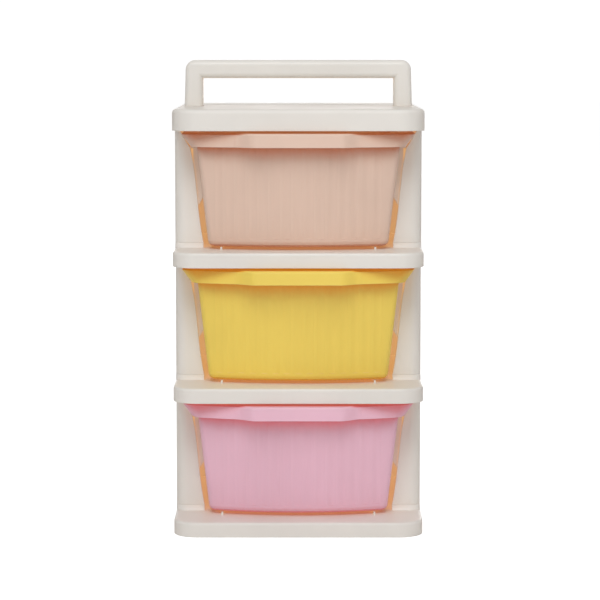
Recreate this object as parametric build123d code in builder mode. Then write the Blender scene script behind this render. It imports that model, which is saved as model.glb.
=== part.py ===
"""Three-drawer plastic storage tower with a carrying handle.

Millimetres, Z up, the front towards -Y. The origin is the middle of the footprint, on the floor.
Distances called depth are measured backwards from the front edge of the plates.
"""

import math
import os

from build123d import *

# Plates: base, two shelves and the lid share one outline
plate_width = 200.0
plate_depth = 200.0
plate_corner = 19.0
plate_height = 12.0
plate_wall = 2.2
plate_deck = 2.4
plate_edge = 1.8
plate_edge_steps = 2
lid_height = 17.0
lid_edge = 3.0
lid_edge_steps = 3
tier_pitch = 108.0
underside_rib = 2.0
underside_rib_lift = 4.0
underside_rib_spacing = 35.2

# Curb on each plate that carries the side panels, with a sloping sill in front
curb_height = 3.8
curb_sill = 3.4
curb_sill_shoulder = 0.55

# Side panels
panel_setback = 48.5
panel_rear_margin = 12.0
panel_wall = 2.4
panel_corner = 9.0
panel_rear_corner = 4.0
front_flange_reach = 23.3
rear_flange_reach = 12.0
tab_thickness = 2.0
tab_width = 16.0
tab_rise = 6.0
tab_root = 8.0
tab_count = 3
socket_rib = 1.8
socket_clearance = 0.2

# Opening between the front flanges: half widths, and heights above the underside of the tier's plate
opening_foot = 76.7
opening_knee = 79.3
opening_knee_height = 31.0
opening_hip = 81.4
opening_hip_height = 50.0
opening_notch = 84.5
opening_notch_height = 79.1
opening_shoulder = 87.0
opening_shoulder_height = 92.0
opening_top = 95.5
opening_top_height = 106.5

# Runners that guide the drawer rims
runner_thickness = 2.2
runner_lip_depth = 48.0
runner_lip_head = 3.3
runner_lip_head_depth = 15.0
runner_lip_foot = 5.4
runner_lip_toe = 4.05
runner_lip_foot_cut = 6.0
runner_clearance = 1.0
runner_rim_gap = 0.6
runner_seat = 6.0
runner_seat_thickness = 2.0
runner_end_gap = 0.3
piece_gap = 0.2

# Back panels
back_thickness = 1.8
back_keeper = 1.4
back_border = 9.0
back_emboss = 0.8
back_top_gap = 0.8

# Drawers
drawer_lift = 2.3
drawer_height = 91.7
drawer_wall = 2.0
drawer_floor = 2.2
tub_half_width_foot = 72.2
tub_half_width_top = 80.6
tub_front_foot = 23.0
tub_front_top = 6.0
tub_back_lean = 5.0
tub_corner = 6.0
tub_foot_edge = 4.2
tub_foot_steps = 3
front_bow = 240.0
rim_height = 11.0
rim_wall = 1.8
rim_half_width_low = 85.4
rim_half_width_top = 94.0
rim_front = -2.0
rim_overhang_back = 6.0
rim_corner = 14.0
drawer_back_gap = 1.2
rim_edge = 1.2
pull_half_width = 32.0
pull_half_width_root = 50.0
pull_softness = 0.42
pull_reach = 6.0

# Flutes down the drawer fronts
flute_pitch = 9.05
flute_width = 6.6
flute_depth = 0.38
flute_count = 15
flute_margin_low = 6.5
flute_margin_high = 0.5

# Guide ribs that the drawers glide on
guide_rib_half_spacing = 61.7
guide_rib_width = 1.6
guide_rib_height = 2.0
guide_rib_start = 29.0
stop_height = 5.0
stop_thickness = 3.0
stop_clearance = 0.3

# Handle
handle_half_width_foot = 94.0
handle_half_width_top = 92.8
handle_rise = 38.0
handle_bar = 15.0
handle_post = 15.4
handle_thickness = 18.0
handle_corner = 8.0
handle_edge = 4.5
tenon_inset = 2.5
tenon_length = 9.0
tenon_clearance = 0.25
barb_reach = 1.2
barb_height = 3.0

# Heights and places worked out from the sizes above
plate_front = (pull_reach - plate_depth) / 2
plate_middle = plate_front + plate_depth / 2
half_width = plate_width / 2
deck_top = plate_height
curb_top = deck_top + curb_height
drawer_bottom_height = deck_top + drawer_lift
rim_top = drawer_bottom_height + drawer_height
rim_low = rim_top - rim_height
panel_inner = half_width - panel_wall
panel_rear = plate_depth - panel_rear_margin
back_face = panel_rear - panel_wall - piece_gap - back_thickness
keeper_face = back_face - piece_gap - back_keeper
rim_back = keeper_face - drawer_back_gap
tub_back_top = rim_back - rim_overhang_back
tub_back_foot = tub_back_top - tub_back_lean
lid_bottom = 3 * tier_pitch
lid_top = lid_bottom + lid_height
tiers = ["lower", "middle", "upper"]


def at_depth(depth):
    """The Y place of a distance measured back from the front edge of the plates."""
    return plate_front + depth


def side_slope():
    """How far the tub's side leans outwards for each millimetre of height."""
    return (tub_half_width_top - tub_half_width_foot) / (rim_low - drawer_bottom_height)


def tub_half_width(height):
    """Half the tub's outer width at a height above the plate's underside."""
    return tub_half_width_foot + side_slope() * (height - drawer_bottom_height)


def front_slope():
    """How far the tub's front moves back for each millimetre of height going down."""
    return (tub_front_foot - tub_front_top) / (rim_low - drawer_bottom_height)


def tub_back(height):
    """The depth of the tub's back at a height above the plate's underside."""
    rise = (height - drawer_bottom_height) / (rim_low - drawer_bottom_height)
    return tub_back_foot + tub_back_lean * rise


def plate_outline(height, inset):
    """The rounded outline of a plate at a height, drawn in by an inset."""
    with BuildSketch(Plane.XY.offset(height)) as outline:
        with Locations((0, plate_middle)):
            RectangleRounded(plate_width - 2 * inset, plate_depth - 2 * inset, plate_corner - inset)
    return outline.sketch


def edge_steps(radius, count):
    """Steps up a rounded edge: how far each is drawn in, and how far it lies below the top."""
    angles = [math.pi / 2 * index / count for index in range(count + 1)]
    return [(radius * (1 - math.cos(angle)), radius * (1 - math.sin(angle))) for angle in angles]


def panel_plan(height, thickness, sill=0.0):
    """The C-shaped plan of the right side panel: outer wall, front flange and rear flange."""
    front = at_depth(panel_setback)
    rear = at_depth(panel_rear)
    inner = half_width - thickness
    with BuildSketch(Plane.XY.offset(height)) as plan:
        with BuildLine():
            Polyline(
                (half_width - front_flange_reach, front - sill),
                (half_width, front - sill),
                (half_width, rear),
                (half_width - rear_flange_reach, rear),
                (half_width - rear_flange_reach, rear - thickness),
                (inner, rear - thickness),
                (inner, front + thickness),
                (half_width - front_flange_reach, front + thickness),
                close=True,
            )
        make_face()
        for across, shrink in ((half_width, 0), (inner, thickness)):
            corners = plan.vertices().filter_by_position(Axis.X, across - 0.01, across + 0.01)
            fillet(corners.sort_by(Axis.Y)[0], panel_corner - shrink)
            fillet(corners.sort_by(Axis.Y)[-1], panel_rear_corner - shrink)
    return plan.sketch


def box_between(x_range, y_range, z_range, mode=Mode.ADD):
    """A block between two corners, added to or cut from the piece in hand."""
    width = x_range[1] - x_range[0]
    length = y_range[1] - y_range[0]
    height = z_range[1] - z_range[0]
    with Locations(((x_range[0] + x_range[1]) / 2, (y_range[0] + y_range[1]) / 2, z_range[0])):
        Box(width, length, height, align=(Align.CENTER, Align.CENTER, Align.MIN), mode=mode)


def tab_places():
    """Depths of the middles of the side panels' tabs."""
    first = panel_setback + panel_corner + tab_width
    last = panel_rear - panel_corner - tab_width
    step = (last - first) / (tab_count - 1)
    return [first + step * index for index in range(tab_count)]


def add_curbs(bottom):
    """The low curb under each side panel, and the bar behind the back panel that joins them."""
    deck = bottom + deck_top
    root = deck - plate_deck / 2
    sections = [
        panel_plan(root, plate_wall, curb_sill),
        panel_plan(deck, plate_wall, curb_sill),
        panel_plan(deck + curb_sill_shoulder * curb_height, plate_wall, curb_sill_shoulder * curb_sill),
        panel_plan(deck + curb_height, plate_wall),
    ]
    with BuildPart(mode=Mode.PRIVATE) as curb:
        for lower, upper in zip(sections, sections[1:]):
            loft([lower, upper], ruled=True)
    add(curb.part)
    add(mirror(curb.part, about=Plane.YZ, mode=Mode.PRIVATE))
    rear = at_depth(panel_rear)
    reach = half_width - rear_flange_reach
    box_between((-reach, reach), (rear - plate_wall, rear), (deck - plate_deck / 2, deck + curb_height))


def add_guide_ribs(bottom):
    """Two ribs that the drawer's floor glides on, each with a stop at its back end."""
    deck = bottom + deck_top
    root = deck - plate_deck / 2
    stop = at_depth(tub_back(deck_top + stop_height) + stop_clearance)
    along = (at_depth(guide_rib_start), stop + stop_thickness)
    for side in (-1, 1):
        middle = side * guide_rib_half_spacing
        across = (middle - guide_rib_width / 2, middle + guide_rib_width / 2)
        box_between(across, along, (root, deck + guide_rib_height))
        block = (middle - stop_thickness, middle + stop_thickness)
        box_between(block, (stop, stop + stop_thickness), (root, deck + stop_height))


def add_underside_ribs(bottom, ceiling, lift):
    """Stiffening ribs under a plate: five from front to back and two across."""
    front = at_depth(plate_wall / 2)
    rear = at_depth(keeper_face - underside_rib)
    for index in range(-2, 3):
        middle = index * underside_rib_spacing
        across = (middle - underside_rib / 2, middle + underside_rib / 2)
        box_between(across, (front, rear), (bottom + lift, ceiling))
    reach = panel_inner - tab_thickness - 2 * socket_rib
    for depth in (plate_depth / 3, rear - plate_front):
        along = (at_depth(depth) - underside_rib / 2, at_depth(depth) + underside_rib / 2)
        box_between((-reach, reach), along, (bottom + lift, ceiling))


def add_tab_sockets(bottom, ceiling):
    """Short ribs inside the skirt that hold the tabs of the side panels below."""
    outer = panel_inner - tab_thickness - socket_clearance
    for depth in tab_places():
        along = (at_depth(depth - tab_width / 2), at_depth(depth + tab_width / 2))
        for side in (-1, 1):
            across = sorted((side * outer, side * (outer - socket_rib)))
            box_between(across, along, (bottom + 1.0, ceiling))


def add_plate_body(bottom, height, edge, steps):
    """The solid block of a plate with its rounded top edge."""
    top = bottom + height
    extrude(plate_outline(bottom, 0), amount=height - edge)
    sections = [plate_outline(top - drop, inset) for inset, drop in edge_steps(edge, steps)]
    for lower, upper in zip(sections, sections[1:]):
        loft([lower, upper], ruled=True)


def make_plate(name, bottom, has_tier_below):
    """The base or a shelf: a skirted plate with curbs and guide ribs on its deck."""
    ceiling = bottom + plate_height - plate_deck
    lift = underside_rib_lift if has_tier_below else 0.0
    with BuildPart() as plate:
        add_plate_body(bottom, plate_height, plate_edge, plate_edge_steps)
        extrude(plate_outline(bottom, plate_wall), amount=plate_height - plate_deck, mode=Mode.SUBTRACT)
        add_underside_ribs(bottom, ceiling, lift)
        if has_tier_below:
            add_tab_sockets(bottom, ceiling)
        add_curbs(bottom)
        add_guide_ribs(bottom)
    plate.part.label = name
    export_step(plate.part, f"parts/{name}.step")


def tenon_outline(side, growth):
    """The outline of one handle tenon where it passes through the lid, grown by a clearance."""
    foot_middle = side * (handle_half_width_foot - handle_post / 2)
    with BuildSketch(Plane.XY.offset(lid_top)) as outline:
        with Locations((foot_middle, plate_middle)):
            RectangleRounded(
                handle_post - 2 * tenon_inset + 2 * growth,
                handle_thickness - 2 * tenon_inset + 2 * growth,
                1.5,
            )
    return outline.sketch


def make_lid():
    """The lid: a deeper skirted plate with a slot for each tenon of the handle."""
    ceiling = lid_top - plate_deck
    with BuildPart() as lid:
        add_plate_body(lid_bottom, lid_height, lid_edge, lid_edge_steps)
        extrude(plate_outline(lid_bottom, plate_wall), amount=lid_height - plate_deck, mode=Mode.SUBTRACT)
        add_underside_ribs(lid_bottom, ceiling, underside_rib_lift + 3)
        add_tab_sockets(lid_bottom, ceiling)
        for side in (-1, 1):
            extrude(tenon_outline(side, tenon_clearance), amount=-lid_height, mode=Mode.SUBTRACT)
    lid.part.label = "lid"
    export_step(lid.part, "parts/lid.step")


def make_handle():
    """The upright handle: a rounded arch with a barbed tenon under each foot."""
    top = lid_top + handle_rise
    with BuildPart() as handle:
        with BuildSketch(Plane.XZ.offset(-plate_middle)) as arch:
            with BuildLine():
                Polyline(
                    (-handle_half_width_foot, lid_top),
                    (-handle_half_width_top, top),
                    (handle_half_width_top, top),
                    (handle_half_width_foot, lid_top),
                    close=True,
                )
            make_face()
            fillet(arch.vertices().group_by(Axis.Y)[-1], handle_corner)
            inner = handle_half_width_foot - handle_post
            with BuildLine(mode=Mode.PRIVATE) as window:
                Polyline(
                    (-inner, lid_top - 1),
                    (-inner, top - handle_bar),
                    (inner, top - handle_bar),
                    (inner, lid_top - 1),
                    close=True,
                )
            make_face(window.edges(), mode=Mode.SUBTRACT)
        extrude(amount=handle_thickness / 2, both=True)
        above_lid = handle.edges().filter_by_position(Axis.Z, lid_top + 0.1, top + 0.1)
        faces = above_lid.group_by(Axis.Y)
        fillet(faces[0] + faces[-1], handle_edge)
        for side in (-1, 1):
            extrude(tenon_outline(side, 0), amount=-tenon_length)
            add_barb(side)
    handle.part.label = "carry_handle"
    export_step(handle.part, "parts/carry_handle.step")


def add_barb(side):
    """The hook that catches under the lid, on the tenon's outer face."""
    face = handle_half_width_foot - tenon_inset
    catch = lid_top - plate_deck - piece_gap
    tip = lid_top - tenon_length
    half_length = handle_thickness / 2 - tenon_inset - 2
    with BuildSketch(Plane.XZ.offset(-plate_middle)) as profile:
        with BuildLine():
            Polyline(
                (side * (face - 1), catch),
                (side * (face + barb_reach), catch),
                (side * (face + barb_reach), catch - barb_height / 3),
                (side * face, tip),
                (side * (face - 1), tip),
                close=True,
            )
        make_face()
    extrude(profile.sketch, amount=half_length, both=True)


def make_side_panel(tier, side):
    """One side panel: C-shaped in plan, its front flange cut to the drawer's outline."""
    bottom = tier_pitch * tiers.index(tier)
    foot = bottom + curb_top
    head = bottom + tier_pitch
    with BuildPart() as panel:
        extrude(panel_plan(foot, panel_wall), amount=head - foot)
        with BuildSketch(Plane.XZ.offset(-at_depth(panel_setback) + 1)) as opening:
            with BuildLine():
                Polyline(
                    (0, bottom),
                    (opening_foot, bottom),
                    (opening_foot, bottom + curb_top),
                )
                Spline(
                    (opening_foot, bottom + curb_top),
                    (opening_knee, bottom + opening_knee_height),
                    (opening_hip, bottom + opening_hip_height),
                    (opening_notch, bottom + opening_notch_height),
                )
                Polyline(
                    (opening_notch, bottom + opening_notch_height),
                    (opening_shoulder, bottom + opening_shoulder_height),
                    (opening_top, bottom + opening_top_height),
                    (opening_top, bottom + 2 * opening_top_height),
                    (0, bottom + 2 * opening_top_height),
                    (0, bottom),
                )
            make_face()
        extrude(amount=-(1 + panel_corner / 2), mode=Mode.SUBTRACT)
        add_panel_tabs(foot, head)
        add_runner_seat(bottom)
        add_back_keeper(foot, head)
        if side == "left":
            mirror(about=Plane.YZ, mode=Mode.REPLACE)
    name = f"side_panel_{side}_{tier}"
    panel.part.label = name
    export_step(panel.part, f"parts/{name}.step")


def add_panel_tabs(foot, head):
    """Tabs on the panel's inner face: they reach into the plate above and inside the curb below."""
    across = (panel_inner - tab_thickness, panel_inner)
    for depth in tab_places():
        along = (at_depth(depth - tab_width / 2), at_depth(depth + tab_width / 2))
        box_between(across, along, (head - tab_root, head + tab_rise))
        box_between(across, along, (foot - curb_height + piece_gap, foot + tab_root))


def add_runner_seat(bottom):
    """The ledge inside the panel that carries a runner."""
    ledge_top = bottom + rim_low - runner_rim_gap - runner_thickness
    span = (at_depth(panel_setback + panel_corner), at_depth(keeper_face + back_keeper / 2))
    across = (panel_inner - runner_seat, panel_inner + panel_wall / 4)
    box_between(across, span, (ledge_top - runner_seat_thickness, ledge_top))


def add_back_keeper(foot, head):
    """The upright rib that holds the back panel against the rear flange."""
    across = (half_width - panel_rear_corner - 2 * back_keeper, panel_inner + panel_wall / 4)
    box_between(across, (at_depth(keeper_face), at_depth(keeper_face + back_keeper)), (foot, head))


def make_runner(tier, side):
    """One runner: a ledge under the drawer's rim with a deep lip beside the drawer's wall."""
    bottom = tier_pitch * tiers.index(tier)
    top = rim_low - runner_rim_gap
    foot = top - runner_lip_depth
    cut_top = foot + runner_lip_foot_cut
    inner_top = tub_half_width(top) + runner_clearance
    inner_foot = tub_half_width(foot) + runner_clearance
    inner_cut = tub_half_width(cut_top) + runner_clearance
    front = at_depth(panel_setback + panel_wall + runner_end_gap)
    rear = at_depth(keeper_face - runner_end_gap)
    with BuildPart() as runner:
        with BuildSketch(Plane.XZ.offset(-front)):
            with BuildLine():
                Polyline(
                    (inner_top, bottom + top),
                    (panel_inner - piece_gap, bottom + top),
                    (panel_inner - piece_gap, bottom + top - runner_thickness),
                    (inner_top + runner_lip_head, bottom + top - runner_thickness),
                    (inner_top + runner_lip_head, bottom + top - runner_lip_head_depth),
                    (inner_foot + runner_lip_foot, bottom + foot),
                    (inner_foot + runner_lip_toe, bottom + foot),
                    (inner_cut, bottom + cut_top),
                    close=True,
                )
            make_face()
        extrude(amount=-(rear - front))
        corner = runner.edges().filter_by(Axis.Z).group_by(Axis.X)[-1].sort_by(Axis.Y)[0]
        chamfer(corner, panel_corner - panel_wall)
        lead_in = runner.edges().filter_by(Axis.X).group_by(Axis.Y)[0].sort_by(Axis.Z)[-1]
        chamfer(lead_in, runner_thickness / 2)
        if side == "left":
            mirror(about=Plane.YZ, mode=Mode.REPLACE)
    name = f"runner_{side}_{tier}"
    runner.part.label = name
    export_step(runner.part, f"parts/{name}.step")


def make_back_panel(tier):
    """One back panel: a thin sheet with a raised field, held between the side panels."""
    bottom = tier_pitch * tiers.index(tier)
    foot = bottom + deck_top
    head = bottom + tier_pitch + plate_height - plate_deck - back_top_gap
    rear = at_depth(back_face + back_thickness)
    reach = half_width - panel_rear_corner - piece_gap
    field = half_width - rear_flange_reach - back_border
    with BuildPart() as sheet:
        box_between((-reach, reach), (rear - back_thickness, rear), (foot, head))
        with BuildSketch(Plane.XZ.offset(-rear)) as raised:
            with Locations((0, (foot + bottom + tier_pitch) / 2)):
                RectangleRounded(2 * field, tier_pitch - deck_top - 2 * back_border, 6)
        extrude(raised.sketch, amount=-back_emboss)
    name = f"back_panel_{tier}"
    sheet.part.label = name
    export_step(sheet.part, f"parts/{name}.step")


def drawer_outline(height, half, front, rear, front_corner, rear_corner):
    """A drawer's outline in plan: bowed front, straight sides and back, rounded corners."""
    bow = front_bow - math.sqrt(front_bow**2 - half**2)
    with BuildSketch(Plane.XY.offset(height)) as outline:
        with BuildLine():
            ThreePointArc(
                (-half, at_depth(front + bow)),
                (0, at_depth(front)),
                (half, at_depth(front + bow)),
            )
            Polyline(
                (half, at_depth(front + bow)),
                (half, at_depth(rear)),
                (-half, at_depth(rear)),
                (-half, at_depth(front + bow)),
            )
        make_face()
        fillet(outline.vertices().group_by(Axis.Y)[0], front_corner)
        fillet(outline.vertices().group_by(Axis.Y)[-1], rear_corner)
    return outline.sketch


def tub_outline(bottom, height, inset):
    """The tub's outline at a height above the tier's plate, drawn in by an inset."""
    rise = (height - drawer_bottom_height) / (rim_low - drawer_bottom_height)
    front = tub_front_foot + (tub_front_top - tub_front_foot) * rise
    corner = tub_corner - inset / 2
    half = tub_half_width(height) - inset
    return drawer_outline(bottom + height, half, front + inset, tub_back(height) - inset, corner, corner)


def rim_outline(height, half, inset):
    """The rim's outline at a height, drawn in by an inset."""
    corner = rim_corner - inset
    return drawer_outline(height, half - inset, rim_front + inset, rim_back - inset, corner, corner / 2)


def pull_outline(height, inset):
    """The pull in plan: a flat front with soft shoulders that run back into the rim."""
    half_root = pull_half_width_root - inset
    half_front = pull_half_width - inset / 2
    root = at_depth(rim_front + pull_half_width_root**2 / (2 * front_bow) + inset)
    front = at_depth(-pull_reach + inset)
    deep = at_depth(tub_front_top + drawer_wall)
    ease = pull_softness * (half_root - half_front)
    rise = ease * pull_half_width_root / front_bow
    near_root = (half_root - ease, root - rise)
    near_front = (half_front + ease, front)
    with BuildSketch(Plane.XY.offset(height)) as outline:
        with BuildLine():
            Line((0, front), (half_front, front))
            Bezier((half_front, front), near_front, near_root, (half_root, root))
            Line((half_root, root), (half_root, deep))
            Line((half_root, deep), (0, deep))
            mirror(about=Plane.YZ)
        make_face()
    return outline.sketch


def make_drawer(name, tier):
    """One drawer: tapered tub, hollow flared rim, pull and fluted front."""
    bottom = tier_pitch * tiers.index(tier)
    low = bottom + rim_low
    top = bottom + rim_top
    pocket_top = top - rim_wall
    flare = (rim_half_width_top - rim_half_width_low) / rim_height
    brow_half = rim_half_width_top - flare * rim_edge
    pocket_half = rim_half_width_top - flare * rim_wall
    with BuildPart() as drawer:
        brow = rim_outline(top - rim_edge, brow_half, 0)
        loft([rim_outline(low, rim_half_width_low, 0), brow], ruled=True)
        loft([brow, rim_outline(top, brow_half, rim_edge)], ruled=True)
        extrude(pull_outline(low, 0), amount=rim_height - rim_edge)
        loft([pull_outline(top - rim_edge, 0), pull_outline(top, rim_edge)], ruled=True)
        loft(
            [rim_outline(low, rim_half_width_low, rim_wall), rim_outline(pocket_top, pocket_half, rim_wall)],
            ruled=True,
            mode=Mode.SUBTRACT,
        )
        extrude(pull_outline(low, rim_wall), amount=rim_height - rim_wall, mode=Mode.SUBTRACT)
        steps = reversed(edge_steps(tub_foot_edge, tub_foot_steps))
        sections = [tub_outline(bottom, drawer_bottom_height + rise, inset) for inset, rise in steps]
        sections.append(tub_outline(bottom, rim_top - rim_edge, 0))
        for lower, upper in zip(sections, sections[1:]):
            loft([lower, upper], ruled=True)
        cut_flutes(bottom)
        floor = drawer_bottom_height + drawer_floor
        loft(
            [tub_outline(bottom, floor, drawer_wall), tub_outline(bottom, rim_top + 1, drawer_wall)],
            ruled=True,
            mode=Mode.SUBTRACT,
        )
    drawer.part.label = name
    export_step(drawer.part, f"parts/{name}.step")


def cut_flutes(bottom):
    """Shallow upright flutes down the drawer's front, following its lean and its bow."""
    radius = (flute_width**2 / 4 + flute_depth**2) / (2 * flute_depth)
    lean = math.atan(front_slope())
    low = drawer_bottom_height + flute_margin_low
    length = (rim_low - flute_margin_high - low) / math.cos(lean)
    front = tub_front_foot - front_slope() * (low - drawer_bottom_height)
    for index in range(flute_count):
        across = (index - (flute_count - 1) / 2) * flute_pitch
        bow = front_bow - math.sqrt(front_bow**2 - across**2)
        turn = math.asin(across / front_bow)
        normal = Vector(math.sin(turn), -math.cos(turn) * math.cos(lean), -math.sin(lean)).normalized()
        axis = Vector(0, -math.sin(lean), math.cos(lean))
        surface = Vector(across, at_depth(front + bow), bottom + low)
        start = surface + normal * (radius - flute_depth)
        with BuildSketch(Plane(origin=start, z_dir=axis)) as tool:
            Circle(radius)
        extrude(tool.sketch, amount=length, mode=Mode.SUBTRACT)


os.makedirs("parts", exist_ok=True)
make_plate("base", 0.0, False)
make_plate("shelf_lower", tier_pitch, True)
make_plate("shelf_upper", 2 * tier_pitch, True)
make_lid()
make_handle()
for tier_name in tiers:
    for side_name in ("left", "right"):
        make_side_panel(tier_name, side_name)
        make_runner(tier_name, side_name)
    make_back_panel(tier_name)
make_drawer("drawer_bottom", "lower")
make_drawer("drawer_middle", "middle")
make_drawer("drawer_top", "upper")
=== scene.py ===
"""Looks of the drawer tower: moulded plastic materials, a pale studio and the photograph's camera."""

import math

import bpy
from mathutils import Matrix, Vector

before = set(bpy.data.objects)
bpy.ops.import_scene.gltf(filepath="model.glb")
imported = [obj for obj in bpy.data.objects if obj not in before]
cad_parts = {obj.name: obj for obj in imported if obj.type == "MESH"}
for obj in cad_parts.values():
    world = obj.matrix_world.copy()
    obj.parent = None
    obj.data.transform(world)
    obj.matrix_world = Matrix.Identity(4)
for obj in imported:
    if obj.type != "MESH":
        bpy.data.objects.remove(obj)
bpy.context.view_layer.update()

# Linear colours of the plastics: open face, painted shade under an overhang, painted glow of a closed
# hollow in place of light bounced into it
CREAM = ((0.78, 0.785, 0.76), (0.82, 0.77, 0.70), (0.62, 0.35, 0.15))
PEACH = ((0.83, 0.63, 0.51), (0.66, 0.20, 0.075), (0.46, 0.14, 0.05))
YELLOW = ((0.93, 0.74, 0.135), (0.86, 0.36, 0.015), (0.62, 0.26, 0.02))
PINK = ((0.88, 0.58, 0.70), (0.86, 0.18, 0.22), (0.62, 0.17, 0.14))

# Surface of the plastics
CABINET_ROUGHNESS = 0.40
DRAWER_ROUGHNESS = 0.42
PLASTIC_IOR = 1.49
TRANSLUCENT_SHARE = 0.16
CLOUD_SCALE = 14.0
CLOUD_DARK = 0.955
CLOUD_LIGHT = 1.03
WIPE_STRETCH = (26.0, 26.0, 420.0)
WIPE_TILT = (0.12, 0.31, 0.2)
WIPE_SMOOTHER = 0.05
WIPE_ROUGHER = 0.07

# Worn edges: radius of the rounded normal in metres, strength of the wear, scale of its patches
EDGE_RADIUS = 0.0007
EDGE_WEAR = 0.45
WEAR_PATCH_SCALE = 55.0

# Bumps: noise scale, strength, and height in metres
GRAIN = (1500.0, 0.12, 0.00012)
PEEL = (70.0, 0.10, 0.0006)

# Painted shade under overhangs, looking mostly up, and painted glow in closed hollows in place of bounced
# light: reaches in metres
OVERHANG_REACH = 0.024
OVERHANG_UPWARD = (0.0, 0.0, 0.8)
HOLLOW_REACH = 0.3
HOLLOW_LIMIT = 0.055
CABINET_PAINTED_GLOW = 0.36
DRAWER_PAINTED_GLOW = 0.14

# Studio: the floor glows for the camera, and the world is white to the camera and softer elsewhere
FLOOR_HALF = 14.0
FLOOR_DARK = (0.80, 0.80, 0.80)
FLOOR_LIGHT = (0.83, 0.83, 0.83)
FLOOR_GLOW = 0.66
WORLD_LIGHT = 0.45
WORLD_SEEN = 1.05


def feed(tree, value, socket):
    """Links an output to a socket, or sets the socket to a plain value; colours have no alpha."""
    if isinstance(value, bpy.types.NodeSocket):
        tree.links.new(value, socket)
    elif socket.type == "RGBA":
        socket.default_value = (*value, 1.0)
    else:
        socket.default_value = value


def noise(tree, coords, scale, detail):
    """A noise texture on object coordinates."""
    node = tree.nodes.new("ShaderNodeTexNoise")
    node.inputs["Scale"].default_value = scale
    node.inputs["Detail"].default_value = detail
    feed(tree, coords, node.inputs["Vector"])
    return node.outputs["Fac"]


def remap(tree, value, low, high, out_low, out_high):
    """Maps a value from one range to another and clamps it."""
    node = tree.nodes.new("ShaderNodeMapRange")
    node.inputs["From Min"].default_value = low
    node.inputs["From Max"].default_value = high
    node.inputs["To Min"].default_value = out_low
    node.inputs["To Max"].default_value = out_high
    feed(tree, value, node.inputs["Value"])
    return node.outputs["Result"]


def blend(tree, factor, first, second):
    """Mixes two colours."""
    node = tree.nodes.new("ShaderNodeMix")
    node.data_type = "RGBA"
    feed(tree, factor, node.inputs["Factor"])
    feed(tree, first, node.inputs["A"])
    feed(tree, second, node.inputs["B"])
    return node.outputs["Result"]


def math_node(tree, kind, operation, result, *values):
    """Works out a sum on numbers or vectors."""
    node = tree.nodes.new(kind)
    node.operation = operation
    for value, socket in zip(values, node.inputs):
        feed(tree, value, socket)
    return node.outputs[result]


def bump(tree, coords, marks, normal):
    """Raises the surface by a fine noise."""
    scale, strength, height = marks
    node = tree.nodes.new("ShaderNodeBump")
    node.inputs["Strength"].default_value = strength
    node.inputs["Distance"].default_value = height
    feed(tree, noise(tree, coords, scale, 2.0), node.inputs["Height"])
    feed(tree, normal, node.inputs["Normal"])
    return node.outputs["Normal"]


def openness(tree, reach, direction=None):
    """How much of the space within reach is free, around a direction or the surface normal."""
    node = tree.nodes.new("ShaderNodeAmbientOcclusion")
    node.inputs["Distance"].default_value = reach
    node.samples = 6
    if direction is not None:
        feed(tree, direction, node.inputs["Normal"])
    return node.outputs["AO"]


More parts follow.
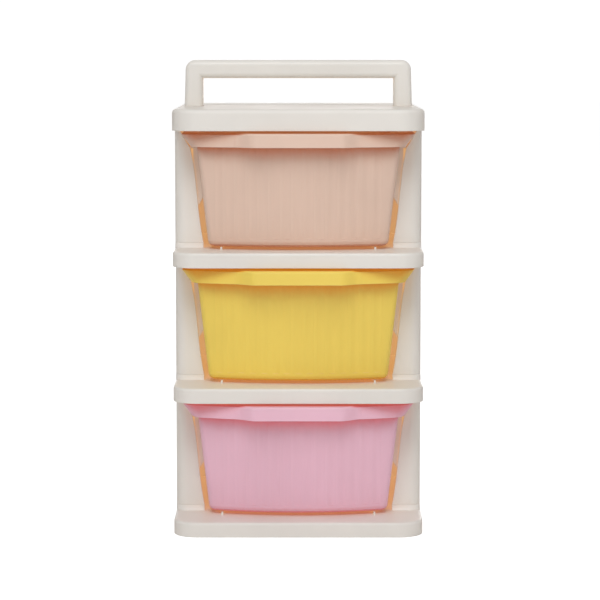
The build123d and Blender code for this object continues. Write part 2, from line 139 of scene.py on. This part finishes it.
def plastic(name, tones, roughness, painted_glow):
    """Injection-moulded plastic: clouds, grain, wipes, pale worn edges, painted shade under overhangs and a
    painted glow in hollows.
    """
    face, painted_shade, painted_glow_colour = tones
    material = bpy.data.materials.new(name)
    material.use_nodes = True
    tree = material.node_tree
    shader = tree.nodes["Principled BSDF"]
    coords = tree.nodes.new("ShaderNodeTexCoord").outputs["Object"]
    normal = tree.nodes.new("ShaderNodeNewGeometry").outputs["Normal"]

    clouds = remap(tree, noise(tree, coords, CLOUD_SCALE, 3.0), 0.3, 0.7, 0.0, 1.0)
    darker = tuple(CLOUD_DARK * part for part in face)
    lighter = tuple(min(1.0, CLOUD_LIGHT * part) for part in face)
    colour = blend(tree, clouds, darker, lighter)

    # Painted shade: the colour turns to the deep shade tone where the space above the surface is closed in,
    # as under the rims and shelves
    leaning = math_node(tree, "ShaderNodeVectorMath", "ADD", "Vector", normal, OVERHANG_UPWARD)
    skyward = math_node(tree, "ShaderNodeVectorMath", "NORMALIZE", "Vector", leaning)
    painted_shade_mask = remap(tree, openness(tree, OVERHANG_REACH, skyward), 0.3, 0.68, 1.0, 0.0)
    colour = blend(tree, painted_shade_mask, colour, painted_shade)

    bevel = tree.nodes.new("ShaderNodeBevel")
    bevel.inputs["Radius"].default_value = EDGE_RADIUS
    bevel.samples = 4
    rounded = bevel.outputs["Normal"]
    turn = math_node(tree, "ShaderNodeVectorMath", "DOT_PRODUCT", "Value", rounded, normal)
    edge = remap(tree, turn, 0.97, 0.80, 0.0, EDGE_WEAR)
    patches = remap(tree, noise(tree, coords, WEAR_PATCH_SCALE, 4.0), 0.35, 0.65, 0.2, 1.0)
    worn = math_node(tree, "ShaderNodeMath", "MULTIPLY", "Value", edge, patches)
    pale = tuple(min(1.0, 0.5 * part + 0.5) for part in face)
    feed(tree, blend(tree, worn, colour, pale), shader.inputs["Base Color"])

    stretch = tree.nodes.new("ShaderNodeMapping")
    stretch.inputs["Scale"].default_value = WIPE_STRETCH
    stretch.inputs["Rotation"].default_value = WIPE_TILT
    feed(tree, coords, stretch.inputs["Vector"])
    wipes = noise(tree, stretch.outputs["Vector"], 1.0, 2.0)
    sheen = remap(tree, wipes, 0.3, 0.7, roughness - WIPE_SMOOTHER, roughness + WIPE_ROUGHER)
    feed(tree, sheen, shader.inputs["Roughness"])
    grained = bump(tree, coords, GRAIN, rounded)
    feed(tree, bump(tree, coords, PEEL, grained), shader.inputs["Normal"])
    shader.inputs["IOR"].default_value = PLASTIC_IOR

    # Painted glow: the plastic emits light where it is closed in, in place of light bounced and passed into
    # the gaps and drawers
    feed(tree, painted_glow_colour, shader.inputs["Emission Color"])
    painted_glow_strength = remap(tree, openness(tree, HOLLOW_REACH), 0.0, HOLLOW_LIMIT, painted_glow, 0.0)
    feed(tree, painted_glow_strength, shader.inputs["Emission Strength"])
    seen_through = tree.nodes.new("ShaderNodeBsdfTranslucent")
    feed(tree, blend(tree, clouds, face, lighter), seen_through.inputs["Color"])
    wall = tree.nodes.new("ShaderNodeMixShader")
    wall.inputs["Fac"].default_value = TRANSLUCENT_SHARE
    feed(tree, shader.outputs["BSDF"], wall.inputs[1])
    feed(tree, seen_through.outputs["BSDF"], wall.inputs[2])
    feed(tree, wall.outputs["Shader"], tree.nodes["Material Output"].inputs["Surface"])
    return material


def dress(node, material):
    """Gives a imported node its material."""
    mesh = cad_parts[node].data
    mesh.materials.clear()
    mesh.materials.append(material)


def floor_material():
    """Pale matte floor with its own glow for the camera, so that only the contact shadow shows on white."""
    material = bpy.data.materials.new("pale_floor")
    material.use_nodes = True
    tree = material.node_tree
    tree.nodes.clear()
    output = tree.nodes.new("ShaderNodeOutputMaterial")
    matte = tree.nodes.new("ShaderNodeBsdfDiffuse")
    coords = tree.nodes.new("ShaderNodeTexCoord").outputs["Object"]
    tone = blend(tree, noise(tree, coords, 2.0, 2.0), FLOOR_DARK, FLOOR_LIGHT)
    feed(tree, tone, matte.inputs["Color"])
    glow = tree.nodes.new("ShaderNodeEmission")
    seen = tree.nodes.new("ShaderNodeLightPath").outputs["Is Camera Ray"]
    strength = math_node(tree, "ShaderNodeMath", "MULTIPLY", "Value", seen, FLOOR_GLOW)
    feed(tree, strength, glow.inputs["Strength"])
    joined = tree.nodes.new("ShaderNodeAddShader")
    feed(tree, matte.outputs["BSDF"], joined.inputs[0])
    feed(tree, glow.outputs["Emission"], joined.inputs[1])
    feed(tree, joined.outputs["Shader"], output.inputs["Surface"])
    return material


def area_light(name, place, target, width, height, power):
    """A soft rectangular lamp aimed at a point and hidden from the camera."""
    lamp = bpy.data.lights.new(name, "AREA")
    lamp.shape = "RECTANGLE"
    lamp.size = width
    lamp.size_y = height
    lamp.energy = power
    piece = bpy.data.objects.new(name, lamp)
    piece.location = place
    piece.rotation_euler = (Vector(target) - Vector(place)).to_track_quat("-Z", "Y").to_euler()
    piece.visible_camera = False
    bpy.context.collection.objects.link(piece)


cream = plastic("cream_moulded", CREAM, CABINET_ROUGHNESS, CABINET_PAINTED_GLOW)
drawer_colours = {
    "drawer_top": plastic("peach_moulded", PEACH, DRAWER_ROUGHNESS, DRAWER_PAINTED_GLOW),
    "drawer_middle": plastic("yellow_moulded", YELLOW, DRAWER_ROUGHNESS, DRAWER_PAINTED_GLOW),
    "drawer_bottom": plastic("pink_moulded", PINK, DRAWER_ROUGHNESS, DRAWER_PAINTED_GLOW),
}
for node_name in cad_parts:
    dress(node_name, drawer_colours.get(node_name, cream))

floor_mesh = bpy.data.meshes.new("studio_floor")
corners = [(x * FLOOR_HALF, y * FLOOR_HALF, 0.0) for x, y in ((-1, -1), (1, -1), (1, 1), (-1, 1))]
floor_mesh.from_pydata(corners, [], [(0, 1, 2, 3)])
floor_mesh.materials.append(floor_material())
floor = bpy.data.objects.new("studio_floor", floor_mesh)
bpy.context.collection.objects.link(floor)

world = bpy.data.worlds.new("studio")
bpy.context.scene.world = world
world.use_nodes = True
sky = world.node_tree
backdrop = sky.nodes["Background"]
backdrop.inputs["Color"].default_value = (1.0, 1.0, 1.0, 1.0)
camera_ray = sky.nodes.new("ShaderNodeLightPath").outputs["Is Camera Ray"]
feed(sky, remap(sky, camera_ray, 0.0, 1.0, WORLD_LIGHT, WORLD_SEEN), backdrop.inputs["Strength"])

area_light("key_softbox", (-0.08, -1.5, 1.75), (0.0, 0.0, 0.18), 1.2, 0.9, 22.5)
area_light("front_fill", (0.0, -2.2, 0.32), (0.0, 0.0, 0.2), 1.8, 0.5, 4.0)
area_light("rear_fill", (0.3, 2.2, 0.45), (0.0, 0.0, 0.2), 1.8, 0.7, 9.0)

# The camera stands about 1.6 m in front of the drawers, just above the handle, tilted slightly down
camera_data = bpy.data.cameras.new("photo_camera")
camera_data.sensor_width = 36.0
camera_data.lens = 125.6
camera_data.shift_x = 0.0028
camera_data.shift_y = -0.0795
camera_data.clip_end = 60.0
camera = bpy.data.objects.new("photo_camera", camera_data)
camera.location = (0.0, -1.737, 0.3896)
camera.rotation_euler = (math.radians(84.4), 0.0, 0.0)
bpy.context.collection.objects.link(camera)
bpy.context.scene.camera = camera
bpy.context.scene.view_settings.view_transform = "Standard"
